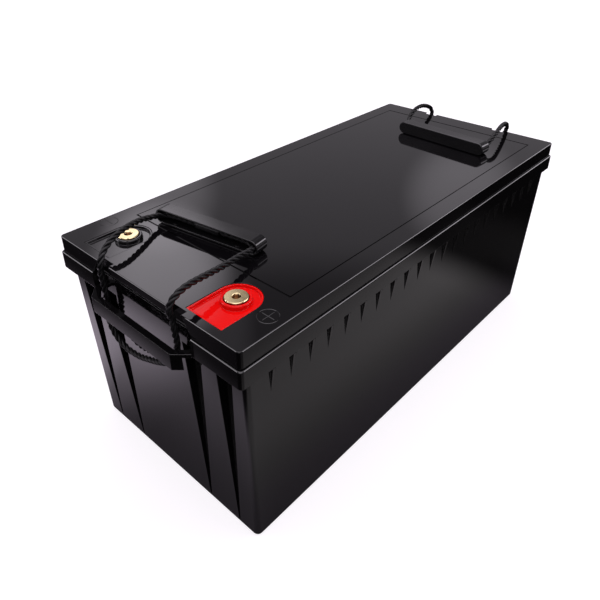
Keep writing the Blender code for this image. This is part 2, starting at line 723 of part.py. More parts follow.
def make_rear_foam(mat):
    bm = bmesh.new()
    front = BLOCK_HALF + END_PLATE + 4 * MM
    back = CAVITY_FOOT[0] - GROOVE_DEPTH[0] - 6 * MM
    half = FOAM_OUT - REAR_FOAM_INSET
    box(bm, (front, -half, FLOOR + GAP), (back, half, RIM_BOTTOM))
    return finish("rear_foam", bm, mat, 0)


# ---------------------------------------------------------------- management system and wiring

def make_heat_sink(mat):
    """Finned plate between the front end plate and the board."""
    bm = bmesh.new()
    face = SINK_BACK - SINK_BASE
    box(bm, (face, -BOARD_HALF, BOARD_LOW), (SINK_BACK, BOARD_HALF, BOARD_HIGH))
    sink = finish("heat_sink", bm, mat, 0)
    fins = bmesh.new()
    high, thick, pitch = SINK_FIN
    for i in range(SINK_FINS):
        y = (i - (SINK_FINS - 1) / 2) * pitch
        box(fins, (face - high, y - thick / 2, BOARD_LOW + FIN_MARGIN),
            (face + OVER, y + thick / 2, BOARD_HIGH - FIN_MARGIN))
    combine(sink, "heat_sink_fins", fins, 'UNION')
    return sink


def make_board(mat):
    """Circuit board with its switching transistors, connector, shunt and two copper cable pads."""
    bm = bmesh.new()
    box(bm, (BOARD_FRONT, -BOARD_HALF, BOARD_LOW), (BOARD_BACK, BOARD_HALF, BOARD_HIGH))
    board = finish("bms_board", bm, mat, 0)
    parts = bmesh.new()
    columns, rows, pitch_y, pitch_z = TRANSISTOR_GRID
    for row in range(rows):
        for column in range(columns):
            board_part(parts, (column - (columns - 1) / 2) * pitch_y, BOARD_LOW + 43.5 * MM + row * pitch_z,
                       *TRANSISTOR)
    for side in (1, -1):
        board_part(parts, side * PAD_PLACE[0], PAD_PLACE[1], *PAD)
    board_part(parts, 0.0, BOARD_HIGH - 8 * MM, 16 * MM, 8 * MM, 7 * MM)
    board_part(parts, 0.0, BOARD_LOW + 17 * MM, 44 * MM, 14 * MM, 2 * MM)
    combine(board, "bms_board_parts", parts, 'UNION')
    holes = bmesh.new()
    for y, z in board_screw_places():
        cylinder_x(holes, BOARD_FRONT - OVER, BOARD_BACK + OVER, y, z, SCREW_HOLE)
    combine(board, "bms_board_holes", holes, 'DIFFERENCE')
    return board


def board_part(bm, y, z, wide, high, thick):
    """Block on the front of the board, centred at (y, z) and sunk a little into it."""
    box(bm, (BOARD_FRONT - thick, y - wide / 2, z - high / 2),
        (BOARD_FRONT + OVER / 2, y + wide / 2, z + high / 2))


def board_screw_places():
    return [(y, z) for y in (SCREW_INSET - BOARD_HALF, BOARD_HALF - SCREW_INSET)
            for z in (BOARD_LOW + SCREW_INSET, BOARD_HIGH - SCREW_INSET)]


def cylinder_x(bm, low_x, high_x, y, z, radius, segments=16):
    """Add a cylinder along X."""
    turns = [2 * math.pi * i / segments for i in range(segments)]
    side_prism(bm, low_x, high_x, [(y + radius * math.cos(a), z + radius * math.sin(a)) for a in turns])


def make_board_screws(mat):
    """Four pan-head screws with their spacers, from the board to the base of the heat sink."""
    radius, high = SCREW_HEAD
    seat = BOARD_FRONT - GAP
    foot = SINK_BACK - SINK_BASE - GAP
    for index, (y, z) in enumerate(board_screw_places()):
        bm = bmesh.new()
        lathe(bm, [(0.0, seat - high), (radius - SCREW_HEAD[1] / 4, seat - high), (radius, seat - high / 2),
                   (radius, seat), (SCREW_SHANK, seat), (SCREW_SHANK, BOARD_BACK + GAP),
                   (SPACER_RADIUS, BOARD_BACK + GAP), (SPACER_RADIUS, foot), (0.0, foot)], 14)
        place = Matrix.Translation((0.0, y, z)) @ Matrix.Rotation(math.radians(90), 4, 'Y')
        bmesh.ops.transform(bm, matrix=place, verts=bm.verts)
        finish("bms_screw_%d" % (index + 1), bm, mat)


def smooth_route(points, spacing):
    """Even points along a Catmull-Rom curve through the given ones."""
    pts = [Vector(p) for p in points]
    pts = [2 * pts[0] - pts[1]] + pts + [2 * pts[-1] - pts[-2]]
    fine = []
    for i in range(1, len(pts) - 2):
        p0, p1, p2, p3 = pts[i - 1:i + 3]
        for step in range(24):
            t = step / 24
            fine.append(0.5 * (2 * p1 + (p2 - p0) * t + (2 * p0 - 5 * p1 + 4 * p2 - p3) * t * t
                               + (3 * p1 - p0 - 3 * p2 + p3) * t * t * t))
    fine.append(pts[-2])
    lengths = [0.0]
    for a, b in zip(fine, fine[1:]):
        lengths.append(lengths[-1] + (b - a).length)
    count = max(2, round(lengths[-1] / spacing))
    out = []
    k = 0
    for i in range(count + 1):
        target = lengths[-1] * i / count
        while k < len(fine) - 2 and lengths[k + 1] < target:
            k += 1
        part = (target - lengths[k]) / (lengths[k + 1] - lengths[k])
        out.append(fine[k].lerp(fine[k + 1], min(1.0, part)))
    return out


def tube(name, route, radius, mat, spacing=POINT_SPACING, resolution=2, parent=None):
    """Capped tube along a smooth curve through the route's points."""
    curve = bpy.data.curves.new(name, 'CURVE')
    curve.dimensions = '3D'
    curve.bevel_depth = radius
    curve.bevel_resolution = resolution
    curve.use_fill_caps = True
    points = smooth_route(route, spacing)
    spline = curve.splines.new('POLY')
    spline.points.add(len(points) - 1)
    for slot, point in zip(spline.points, points):
        slot.co = (*point, 1.0)
    curve.materials.append(mat)
    obj = bpy.data.objects.new(name, curve)
    bpy.context.scene.collection.objects.link(obj)
    if parent:
        obj.parent = parent
        obj.matrix_parent_inverse = Matrix.Translation(parent.location).inverted()
    return obj


def make_cables(mat):
    """The three power cables: cell 1 to the red stud, cell 4 to the board, board to the black stud."""
    side_y = CELL[1] / 2 + TAB_LEG[0] + TAB_LEG[1] + GAP + CABLE_RADIUS
    tab_z = CELL_TOP - TAB_LEG[2]
    stud_x, stud_y = TERMINAL
    first, last = cell_x(0), cell_x(CELL_COUNT - 1)
    lug_z = SHANK_BOTTOM - GAP - LUG[1] / 2
    lug_end = LUG_BARREL[2] + GAP
    pad_x = BOARD_FRONT - PAD[2] - GAP - CABLE_RADIUS
    pad_y, pad_z = PAD_PLACE
    tube("positive_cable", [(first + 11 * MM, -side_y, tab_z), (first - 22 * MM, -side_y, tab_z),
                            (-148 * MM, -side_y, tab_z + 1 * MM), (-160 * MM, -91 * MM, lug_z - 5 * MM),
                            (-167 * MM, -78 * MM, lug_z - 1 * MM), (stud_x + lug_end + 14 * MM, -stud_y, lug_z),
                            (stud_x + lug_end, -stud_y, lug_z)],
         CABLE_RADIUS, mat, CABLE_SPACING)
    tube("return_cable", [(last + 11 * MM, -side_y, tab_z), (last - 26 * MM, -side_y, tab_z - 4 * MM),
                          (last - 60 * MM, -side_y, tab_z - 15 * MM), (0.0, -side_y, tab_z - 16 * MM),
                          (-110 * MM, -side_y, tab_z - 19 * MM), (-150 * MM, -side_y, tab_z - 23 * MM),
                          (-178 * MM, -92 * MM, tab_z - 33 * MM), (pad_x - 4 * MM, -70 * MM, pad_z + 4 * MM),
                          (pad_x, -pad_y, pad_z), (pad_x, 10 * MM - pad_y, pad_z)],
         CABLE_RADIUS, mat, CABLE_SPACING)
    tube("output_cable", [(pad_x - GAP, pad_y + 10 * MM, pad_z), (pad_x - GAP, pad_y - 10 * MM, pad_z),
                          (-186 * MM, 16 * MM, pad_z + 7 * MM), (-200 * MM, 7 * MM, pad_z + 24 * MM),
                          (-213 * MM, 8 * MM, pad_z + 45 * MM), (stud_x, 18 * MM, lug_z - 5 * MM),
                          (stud_x, 30 * MM, lug_z), (stud_x, stud_y - lug_end, lug_z)],
         CABLE_RADIUS, mat, CABLE_SPACING)


def make_sense_strip(mat):
    """Flexible strip over the cell tops, with a tongue towards each bar."""
    bm = bmesh.new()
    half, thick, lift = STRIP
    low = CELL_TOP + lift
    front = -(BLOCK_HALF + END_PLATE + 7 * MM)
    box(bm, (front, -half, low), (cell_x(CELL_COUNT - 1) + 12 * MM, half, low + thick))
    strip = finish("sense_strip", bm, mat, 0)
    parts = bmesh.new()
    reach = POLE_Y - BUSBAR[0] - GAP
    places = [cell_x(0)] + [0.5 * (cell_x(i) + cell_x(i + 1)) for i in range(CELL_COUNT - 1)]
    places.append(cell_x(CELL_COUNT - 1))
    for x, side in zip(places, (-1, 1, -1, 1, -1)):
        y = sorted((side * (half - OVER), side * reach))
        box(parts, (x - 3 * MM, y[0], low), (x + 3 * MM, y[1], low + thick))
    combine(strip, "sense_strip_tongues", parts, 'UNION')
    return strip


# ---------------------------------------------------------------- rope handles

# Middle of the front rope, in millimetres: left leg from its slot to the splice, then the right leg
# back to its slot, and the slack loop that hangs behind the bar.
FRONT_LEFT = [(-262.0, 48.2, 212.0), (-261.9, 46.4, 219.4), (-259.3, 47.4, 225.0), (-253.0, 50.8, 229.2),
              (-243.5, 53.8, 233.4), (-231.0, 57.4, 235.2), (-218.0, 61.8, 234.5), (-205.0, 65.8, 232.2),
              (-193.0, 68.9, 228.9), (-181.8, 68.4, 226.8), (-175.6, 59.5, 226.5), (-170.6, 31.2, 226.5)]
FRONT_RIGHT = [(-166.4, 3.6, 226.5), (-162.2, -24.5, 226.5), (-166.0, -36.0, 226.8), (-176.0, -39.9, 228.4),
               (-184.5, -41.1, 229.7), (-197.0, -43.3, 231.0), (-209.5, -45.1, 231.9), (-227.0, -47.5, 234.0),
               (-243.0, -49.8, 235.9), (-254.0, -51.3, 235.4), (-262.4, -51.8, 231.6), (-265.2, -50.6, 223.8),
               (-263.6, -49.6, 216.8), (-262.0, -49.0, 212.0)]
FRONT_LOOP = [(-262.0, 48.2, 207.3), (-261.0, 49.2, 197.0), (-260.3, 49.8, 186.0), (-260.1, 51.0, 175.0),
              (-260.0, 54.0, 164.0), (-259.2, 55.6, 152.0), (-258.4, 49.6, 140.2), (-257.6, 36.5, 133.6),
              (-257.4, 19.0, 134.8), (-257.8, 1.0, 141.4), (-258.6, -17.0, 149.8), (-260.0, -34.0, 161.0),
              (-260.2, -44.2, 174.0), (-260.4, -48.2, 188.0), (-261.4, -49.0, 200.0), (-262.0, -49.0, 207.3)]
# The rear rope likewise.
REAR_LEFT = [(262.0, 50.4, 212.0), (262.5, 50.7, 218.9), (259.4, 51.3, 225.4), (251.5, 50.4, 229.8),
             (239.0, 48.2, 234.6), (224.5, 46.4, 238.0), (211.5, 46.0, 237.6), (201.0, 45.3, 233.9),
             (191.0, 42.2, 229.2), (182.0, 34.0, 226.7), (173.8, 23.0, 226.5), (171.5, -4.0, 226.5)]
REAR_RIGHT = [(169.5, -32.0, 226.5), (168.2, -60.0, 226.5), (175.4, -70.6, 227.4), (186.0, -72.6, 231.9),
              (196.0, -71.7, 235.0), (207.0, -70.0, 236.9), (219.0, -67.3, 237.2), (234.0, -63.8, 235.5),
              (247.0, -60.7, 232.7), (257.6, -58.3, 228.2), (263.6, -56.8, 221.8), (263.4, -55.6, 216.6),
              (262.0, -54.4, 212.0)]
REAR_LOOP = [(262.0, 50.4, 207.3), (261.0, 50.0, 197.0), (260.3, 50.2, 186.0), (260.1, 51.0, 175.0),
             (259.8, 52.0, 163.0), (259.2, 50.4, 152.0), (258.4, 41.0, 142.6), (257.8, 24.0, 136.2),
             (257.6, 2.0, 134.2), (257.8, -20.0, 136.6), (258.6, -40.0, 143.4), (259.4, -51.0, 153.0),
             (260.0, -52.8, 165.0), (260.2, -51.0, 177.0), (260.4, -51.0, 188.0), (261.0, -52.6, 199.0),
             (262.0, -54.4, 207.3)]


def metres(route):
    return [tuple(value * MM for value in point) for point in route]


def grip_outline(inset, steps=8):
    """Side of the grip as (y, z) round its middle: straight top and bottom, half round ends."""
    radius = GRIP[2] / 2 - inset
    centre = GRIP[1] / 2 - GRIP[2] / 2
    points = []
    for side, start in ((1, -0.5), (-1, 0.5)):
        for step in range(steps + 1):
            angle = math.pi * (start + step / steps)
            points.append((side * centre + radius * math.cos(angle), radius * math.sin(angle)))
    return points


def make_grip(name, place, mat, parent):
    """Channel grip lying on the lid: half round ends, one closed side, open towards the end of the box."""
    bm = bmesh.new()
    half = GRIP[0] / 2
    side_loft(bm, [(grip_outline(0.0), -half), (grip_outline(0.0), half - GRIP_EDGE),
                   (grip_outline(0.3 * GRIP_EDGE), half - 0.3 * GRIP_EDGE), (grip_outline(GRIP_EDGE), half)])
    x, y, yaw = place
    lay = Matrix.Translation((x, y, HEIGHT + GAP + GRIP[2] / 2)) @ Matrix.Rotation(yaw, 4, 'Z')
    bmesh.ops.transform(bm, matrix=lay, verts=bm.verts)
    grip = finish(name, bm, mat, parent=parent)
    channel = bmesh.new()
    hollow = grip_outline(GRIP_WALL)
    side_loft(channel, [(hollow, -half - OVER), (hollow, half - GRIP_WALL)])
    bmesh.ops.transform(channel, matrix=lay, verts=channel.verts)
    combine(grip, name + "_channel", channel, 'DIFFERENCE')
    return grip


def make_splice(name, start, end, mat, parent):
    """Sleeve over the two rope ends, inside the grip."""
    start, end = Vector(start) * MM, Vector(end) * MM
    direction = (end - start).normalized()
    middle = (start + end) / 2
    long = (end - start).length - 2 * GAP
    bm = bmesh.new()
    radius, edge, half = SPLICE_RADIUS, SPLICE_EDGE, long / 2
    lathe(bm, [(0.0, -half), (radius - edge, -half), (radius, edge - half), (radius, half - edge),
               (radius - edge, half), (0.0, half)], 16)
    turn = direction.to_track_quat('Z', 'Y').to_matrix().to_4x4()
    bmesh.ops.transform(bm, matrix=Matrix.Translation(middle) @ turn, verts=bm.verts)
    return finish(name, bm, mat, parent=parent)


def make_handle(name, end, place, left, right, loop, mats):
    """One rope handle: everything above the slots swings about the pivot line."""
    pivot = bpy.data.objects.new(name + "_pivot", None)
    pivot.location = (end * PIVOT[0], 0.0, PIVOT[1])
    bpy.context.scene.collection.objects.link(pivot)
    make_grip(name + "_grip", place, mats["grip"], pivot)
    tube(name + "_rope_left", metres(left), ROPE_RADIUS, mats["rope"], parent=pivot)
    tube(name + "_rope_right", metres(right), ROPE_RADIUS, mats["rope"], parent=pivot)
    make_splice(name + "_rope_splice", left[-1], right[0], mats["grip"], pivot)
    tube(name + "_rope_loop", metres(loop), ROPE_RADIUS, mats["rope"])


# ---------------------------------------------------------------- the whole pack

def main():
    for obj in list(bpy.data.objects):
        bpy.data.objects.remove(obj, do_unlink=True)

    mats = {
        "case": material("black_case_plastic", (0.012, 0.011, 0.012), 0.12),
        "seal": material("grey_seal_rubber", (0.10, 0.10, 0.10), 0.7),
        "red": material("red_insert_plastic", (0.80, 0.012, 0.010), 0.2),
        "black": material("black_insert_plastic", (0.015, 0.015, 0.016), 0.2),
        "brass": material("brass", (0.83, 0.65, 0.33), 0.25, 1.0),
        "copper": material("tinned_copper", (0.72, 0.66, 0.60), 0.3, 1.0),
        "cell": material("aluminium_cell_case", (0.16, 0.28, 0.50), 0.4),
        "sheet": material("epoxy_sheet", (0.55, 0.62, 0.30), 0.5),
        "bar": material("aluminium", (0.80, 0.80, 0.82), 0.35, 1.0),
        "steel": material("steel", (0.55, 0.55, 0.56), 0.35, 1.0),
        "foam": material("grey_foam", (0.25, 0.25, 0.26), 0.9),
        "board": material("green_board", (0.02, 0.20, 0.07), 0.5),
        "cable": material("cable_jacket", (0.03, 0.03, 0.03), 0.5),
        "film": material("amber_film", (0.55, 0.28, 0.05), 0.4),
        "grip": material("black_grip_plastic", (0.02, 0.02, 0.022), 0.4),
        "rope": material("black_rope", (0.02, 0.02, 0.022), 0.6),
    }

    make_container(mats["case"])
    make_lid(mats["case"])
    make_seal(mats["seal"])
    make_tray("positive_insert", -1, mats["red"])
    make_tray("negative_insert", 1, mats["black"])
    make_terminal("positive_terminal", -1, mats["brass"])
    make_terminal("negative_terminal", 1, mats["brass"])
    make_lock_nut("positive_lock_nut", -1, mats["brass"])
    make_lock_nut("negative_lock_nut", 1, mats["brass"])
    make_lug("positive_lug", -1, (1, 0), mats["copper"])
    make_lug("negative_lug", 1, (0, -1), mats["copper"])
    make_lug_nut("positive_lug_nut", -1, mats["steel"])
    make_lug_nut("negative_lug_nut", 1, mats["steel"])

    for index in range(CELL_COUNT):
        make_cell(index, mats["cell"])
    for index in range(CELL_COUNT + 1):
        make_sheet(index, mats["sheet"])
    for index, side in enumerate((1, -1, 1)):
        make_busbar("busbar_%d_%d" % (index + 1, index + 2), index, side, mats["bar"])
    make_tab("positive_tab", 0, -1, mats["bar"])
    make_tab("negative_tab", CELL_COUNT - 1, -1, mats["bar"])
    make_end_plate("front_end_plate", -1, mats["bar"])
    make_end_plate("rear_end_plate", 1, mats["bar"])
    make_band("lower_band", BANDS[0], mats["steel"])
    make_band("upper_band", BANDS[1], mats["steel"])

    make_base_foam(mats["foam"])
    make_side_foam("left_foam", 1, mats["foam"])
    make_side_foam("right_foam", -1, mats["foam"])
    make_rear_foam(mats["foam"])
    make_heat_sink(mats["bar"])
    make_board(mats["board"])
    make_board_screws(mats["steel"])
    make_cables(mats["cable"])
    make_sense_strip(mats["film"])

    make_handle("front", -1, FRONT_GRIP, FRONT_LEFT, FRONT_RIGHT, FRONT_LOOP, mats)
    make_handle("rear", 1, REAR_GRIP, REAR_LEFT, REAR_RIGHT, REAR_LOOP, mats)


main()
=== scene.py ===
"""Looks of the battery pack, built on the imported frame. Metres, origin under the middle, +Z up."""

import math

import bmesh
import bpy
from mathutils import Matrix, Vector


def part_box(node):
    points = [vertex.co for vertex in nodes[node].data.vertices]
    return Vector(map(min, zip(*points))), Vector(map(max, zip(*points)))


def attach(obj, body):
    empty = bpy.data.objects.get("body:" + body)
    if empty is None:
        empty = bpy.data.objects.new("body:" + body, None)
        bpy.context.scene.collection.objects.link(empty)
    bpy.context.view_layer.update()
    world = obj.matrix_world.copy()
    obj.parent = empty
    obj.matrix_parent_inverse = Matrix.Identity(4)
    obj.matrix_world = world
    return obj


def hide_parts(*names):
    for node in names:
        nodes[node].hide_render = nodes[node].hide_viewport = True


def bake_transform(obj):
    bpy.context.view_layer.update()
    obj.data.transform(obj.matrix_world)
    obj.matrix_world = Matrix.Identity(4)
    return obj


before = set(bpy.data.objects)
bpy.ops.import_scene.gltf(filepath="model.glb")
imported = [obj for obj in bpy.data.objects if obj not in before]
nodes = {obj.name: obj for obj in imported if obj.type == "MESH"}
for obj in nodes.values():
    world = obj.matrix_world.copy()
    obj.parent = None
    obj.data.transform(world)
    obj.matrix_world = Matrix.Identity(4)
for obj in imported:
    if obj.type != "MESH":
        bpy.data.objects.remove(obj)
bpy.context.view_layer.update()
MM = 0.001
scene = bpy.context.scene

# ---------------------------------------------------------------- camera

CAMERA_AT = (-0.4550, -0.3467, 0.4806)
CAMERA_AXES = ((0.68365, -0.72975, -0.00955), (0.38373, 0.34829, 0.85525), (-0.62079, -0.58835, 0.51813))


def make_camera():
    data = bpy.data.cameras.new("camera")
    data.sensor_width = 36.0
    data.lens = 35.37
    data.shift_x = 0.025
    data.shift_y = -0.0833
    data.clip_start = 0.02
    data.clip_end = 50.0
    cam = bpy.data.objects.new("camera", data)
    right, up, back = (Vector(a) for a in CAMERA_AXES)
    turn = Matrix((right, up, back)).transposed().to_4x4()
    cam.matrix_world = Matrix.Translation(CAMERA_AT) @ turn
    scene.collection.objects.link(cam)
    scene.camera = cam


make_camera()

# ---------------------------------------------------------------- materials


class Shader:
    """A small builder for one Principled material."""

    def __init__(self, name, colour, roughness, metallic=0.0, **inputs):
        self.mat = bpy.data.materials.new(name)
        self.mat.use_nodes = True
        self.tree = self.mat.node_tree
        self.bsdf = self.tree.nodes["Principled BSDF"]
        self.set("Base Color", (*colour, 1.0))
        self.set("Roughness", roughness)
        self.set("Metallic", metallic)
        for key, value in inputs.items():
            self.set(key.replace("_", " "), value)
        self.coords = None
        self.normal = None

    def set(self, socket, value):
        self.bsdf.inputs[socket].default_value = value

    def node(self, kind, **values):
        made = self.tree.nodes.new(kind)
        for key, value in values.items():
            setattr(made, key, value)
        return made

    def link(self, a, b):
        self.tree.links.new(a, b)

    def object_coords(self):
        if self.coords is None:
            self.coords = self.node("ShaderNodeTexCoord").outputs["Object"]
        return self.coords

    def noise(self, scale, detail=3.0, rough=0.5, stretch=(1, 1, 1)):
        mapping = self.node("ShaderNodeMapping")
        mapping.inputs["Scale"].default_value = stretch
        self.link(self.object_coords(), mapping.inputs["Vector"])
        made = self.node("ShaderNodeTexNoise")
        made.inputs["Scale"].default_value = scale
        made.inputs["Detail"].default_value = detail
        made.inputs["Roughness"].default_value = rough
        self.link(mapping.outputs["Vector"], made.inputs["Vector"])
        return made.outputs["Fac"]

    def ramp(self, fac, low, high, to_low, to_high):
        made = self.node("ShaderNodeMapRange")
        for key, value in (("From Min", low), ("From Max", high), ("To Min", to_low), ("To Max", to_high)):
            made.inputs[key].default_value = value
        self.link(fac, made.inputs["Value"])
        return made.outputs["Result"]

    def soft_step(self, fac, low, high, to_low, to_high):
        socket = self.ramp(fac, low, high, to_low, to_high)
        socket.node.interpolation_type = "SMOOTHSTEP"
        return socket

    def math(self, operation, *sources):
        made = self.node("ShaderNodeMath", operation=operation)
        for socket, source in zip(made.inputs, sources):
            if isinstance(source, bpy.types.NodeSocket):
                self.link(source, socket)
            else:
                socket.default_value = source
        return made.outputs["Value"]

    def mix(self, fac, a, b):
        made = self.node("ShaderNodeMix", data_type="RGBA")
        self.link(fac, made.inputs["Factor"])
        made.inputs[6].default_value = (*a, 1.0)
        made.inputs[7].default_value = (*b, 1.0)
        return made.outputs[2]

    def vary_colour(self, fac, a, b):
        self.link(self.mix(fac, a, b), self.bsdf.inputs["Base Color"])

    def vary_roughness(self, fac, low, high):
        self.link(self.ramp(fac, 0.3, 0.7, low, high), self.bsdf.inputs["Roughness"])

    def bump(self, height, distance, strength=1.0):
        made = self.node("ShaderNodeBump")
        made.inputs["Strength"].default_value = strength
        made.inputs["Distance"].default_value = distance
        self.link(height, made.inputs["Height"])
        if self.normal is not None:
            self.link(self.normal, made.inputs["Normal"])
        self.normal = made.outputs["Normal"]
        self.link(self.normal, self.bsdf.inputs["Normal"])
        return self


def moulded(name, colour, lighter, rough, peel, grain_scale=900, gloss=0.5):
    """Moulded plastic: slow unevenness from the mould, fine grain, patchy gloss."""
    made = Shader(name, colour, rough, Specular_IOR_Level=gloss)
    made.vary_colour(made.noise(14, 2), colour, lighter)
    made.vary_roughness(made.noise(38, 3), rough * 0.8, rough * 1.3)
    made.bump(made.noise(26, 1), peel)
    made.bump(made.noise(grain_scale, 2), 0.000004, 0.5)
    return made.mat


def rope_material():
    made = Shader("rope_fibre", (0.003, 0.003, 0.0032), 0.36, Specular_IOR_Level=0.3)
    fibres = made.noise(1400, 2)
    made.vary_colour(fibres, (0.0018, 0.0018, 0.002), (0.005, 0.005, 0.0055))
    made.vary_roughness(made.noise(300, 2), 0.30, 0.48)
    made.bump(fibres, 0.0002, 0.6)
    return made.mat


# Painted shade for the studs: a dark brown inside the bores and on the heads' sides below the face, fading
# out between the heights below.
BORE_PAINTED_SHADE = (0.22, 0.10, 0.035, 1.0)
BORE_SHADE_HEIGHTS = (220.3 * MM, 221.1 * MM)    # heights over which a stud's painted shade fades: painted dark brown below, bright above


def metal(name, colour, rough, scale=220, stretch=(1, 1, 1), shaded=None):
    """Satin or polished metal; shaded gives the heights between which painted shade darkens it, for a bore's
    inside.
    """
    made = Shader(name, colour, rough, 1.0)
    made.vary_roughness(made.noise(scale, 3, 0.6, stretch), rough * 0.7, rough * 1.35)
    made.bump(made.noise(scale * 3, 2, 0.5, stretch), 0.00001, 0.6)
    darker = tuple(c * 0.82 for c in colour)
    if shaded is None:
        made.vary_colour(made.noise(60, 3), colour, darker)
    else:
        place = made.node("ShaderNodeSeparateXYZ")
        made.link(made.object_coords(), place.inputs[0])
        # painted shade: below the given heights the metal is painted the bore's dark brown
        bore_shade_mix = made.node("ShaderNodeMix", data_type="RGBA")
        made.link(made.soft_step(place.outputs["Z"], *shaded, 0.0, 1.0), bore_shade_mix.inputs["Factor"])
        bore_shade_mix.inputs[6].default_value = BORE_PAINTED_SHADE
        made.link(made.mix(made.noise(60, 3), colour, darker), bore_shade_mix.inputs[7])
        made.link(bore_shade_mix.outputs[2], made.bsdf.inputs["Base Color"])
    return made.mat


def soft_foam():
    made = Shader("foam", (0.2, 0.2, 0.21), 0.9)
    cells = made.noise(900, 2)
    made.vary_colour(cells, (0.14, 0.14, 0.15), (0.27, 0.27, 0.28))
    made.bump(cells, 0.0003)
    return made.mat


lid_plastic = moulded("lid_plastic", (0.0024, 0.0021, 0.0026), (0.0032, 0.0029, 0.0034), 0.04, 0.00001)
wall_plastic = moulded("wall_plastic", (0.0022, 0.0020, 0.0023), (0.0030, 0.0028, 0.0031), 0.06, 0.00002)
red_plastic = moulded("red_plastic", (0.70, 0.0035, 0.003), (0.64, 0.003, 0.0028), 0.05, 0.00001,
                      gloss=0.16)
black_plastic = moulded("black_insert_plastic", (0.0045, 0.0044, 0.0048), (0.0060, 0.0058, 0.0062),
                        0.06, 0.00001)
grip_plastic = moulded("grip_plastic", (0.0045, 0.0044, 0.0048), (0.0065, 0.0063, 0.0068),
                       0.13, 0.00002, 1300)
rope_fibre = rope_material()
brass = metal("polished_brass", (0.90, 0.74, 0.42), 0.14, shaded=BORE_SHADE_HEIGHTS)
steel = metal("satin_steel", (0.56, 0.56, 0.58), 0.3, 160, (1, 1, 12))
aluminium = metal("aluminium", (0.80, 0.80, 0.82), 0.3, 160, (1, 12, 1))
copper = metal("tinned_copper", (0.72, 0.66, 0.60), 0.3)
can_film = moulded("cell_film", (0.06, 0.15, 0.42), (0.08, 0.18, 0.46), 0.3, 0.00006)
rubber = moulded("seal_rubber", (0.05, 0.05, 0.05), (0.07, 0.07, 0.07), 0.7, 0.00002)
epoxy = moulded("epoxy_sheet", (0.45, 0.52, 0.22), (0.52, 0.6, 0.28), 0.45, 0.00002)
board = moulded("solder_mask", (0.012, 0.12, 0.04), (0.02, 0.17, 0.06), 0.35, 0.00002)
jacket = moulded("cable_jacket", (0.02, 0.02, 0.02), (0.03, 0.03, 0.03), 0.5, 0.00003)
film = moulded("polyimide", (0.50, 0.24, 0.04), (0.58, 0.3, 0.06), 0.3, 0.00002)
foam = soft_foam()


def assign(mat, *names):
    for name in names:
        obj = nodes[name]
        for slot in obj.material_slots:
            slot.material = mat


def dress_cad():
    assign(lid_plastic, "lid")
    assign(wall_plastic, "container")
    assign(red_plastic, "positive_insert")
    assign(black_plastic, "negative_insert")
    assign(brass, "positive_terminal", "negative_terminal", "positive_lock_nut", "negative_lock_nut")
    assign(copper, "positive_lug", "negative_lug")
    assign(steel, "positive_lug_nut", "negative_lug_nut", "lower_band", "upper_band",
           *["bms_screw_%d" % i for i in range(1, 5)])
    assign(can_film, *["cell_%d" % i for i in range(1, 5)])
    assign(epoxy, *["insulating_sheet_%d" % i for i in range(1, 6)])
    assign(aluminium, "busbar_1_2", "busbar_2_3", "busbar_3_4", "positive_tab", "negative_tab",
           "front_end_plate", "rear_end_plate", "heat_sink")
    assign(foam, "base_foam", "left_foam", "right_foam", "rear_foam")
    assign(board, "bms_board")
    assign(jacket, "positive_cable", "return_cable", "output_cable")
    assign(film, "sense_strip")
    assign(rubber, "lid_seal")
    assign(grip_plastic, "front_grip", "rear_grip", "front_rope_splice", "rear_rope_splice")


dress_cad()

# ---------------------------------------------------------------- ropes

FRONT_LEFT = [(-262.0, 48.2, 212.0), (-261.9, 46.4, 219.4), (-259.3, 47.4, 225.0), (-253.0, 50.8, 229.2),
              (-243.5, 53.8, 233.4), (-231.0, 57.4, 235.2), (-218.0, 61.8, 234.5), (-205.0, 65.8, 232.2),
              (-193.0, 68.9, 228.9), (-181.8, 68.4, 226.8), (-175.6, 59.5, 226.5), (-170.6, 31.2, 226.5)]
FRONT_RIGHT = [(-166.4, 3.6, 226.5), (-162.2, -24.5, 226.5), (-166.0, -36.0, 226.8), (-176.0, -39.9, 228.4),
               (-184.5, -41.1, 229.7), (-197.0, -43.3, 231.0), (-209.5, -45.1, 231.9), (-227.0, -47.5, 234.0),
               (-243.0, -49.8, 235.9), (-254.0, -51.3, 235.4), (-262.4, -51.8, 231.6), (-265.2, -50.6, 223.8),
               (-263.6, -49.6, 216.8), (-262.0, -49.0, 212.0)]
FRONT_LOOP = [(-262.0, 48.2, 207.3), (-261.0, 49.2, 197.0), (-260.3, 49.8, 186.0), (-260.1, 51.0, 175.0),
              (-260.0, 54.0, 164.0), (-259.2, 55.6, 152.0), (-258.4, 49.6, 140.2), (-257.6, 36.5, 133.6),
              (-257.4, 19.0, 134.8), (-257.8, 1.0, 141.4), (-258.6, -17.0, 149.8), (-260.0, -34.0, 161.0),
              (-260.2, -44.2, 174.0), (-260.4, -48.2, 188.0), (-261.4, -49.0, 200.0), (-262.0, -49.0, 207.3)]
REAR_LEFT = [(262.0, 50.4, 212.0), (262.5, 50.7, 218.9), (259.4, 51.3, 225.4), (251.5, 50.4, 229.8),
             (239.0, 48.2, 234.6), (224.5, 46.4, 238.0), (211.5, 46.0, 237.6), (201.0, 45.3, 233.9),
             (191.0, 42.2, 229.2), (182.0, 34.0, 226.7), (173.8, 23.0, 226.5), (171.5, -4.0, 226.5)]
REAR_RIGHT = [(169.5, -32.0, 226.5), (168.2, -60.0, 226.5), (175.4, -70.6, 227.4), (186.0, -72.6, 231.9),
              (196.0, -71.7, 235.0), (207.0, -70.0, 236.9), (219.0, -67.3, 237.2), (234.0, -63.8, 235.5),
              (247.0, -60.7, 232.7), (257.6, -58.3, 228.2), (263.6, -56.8, 221.8), (263.4, -55.6, 216.6),
              (262.0, -54.4, 212.0)]
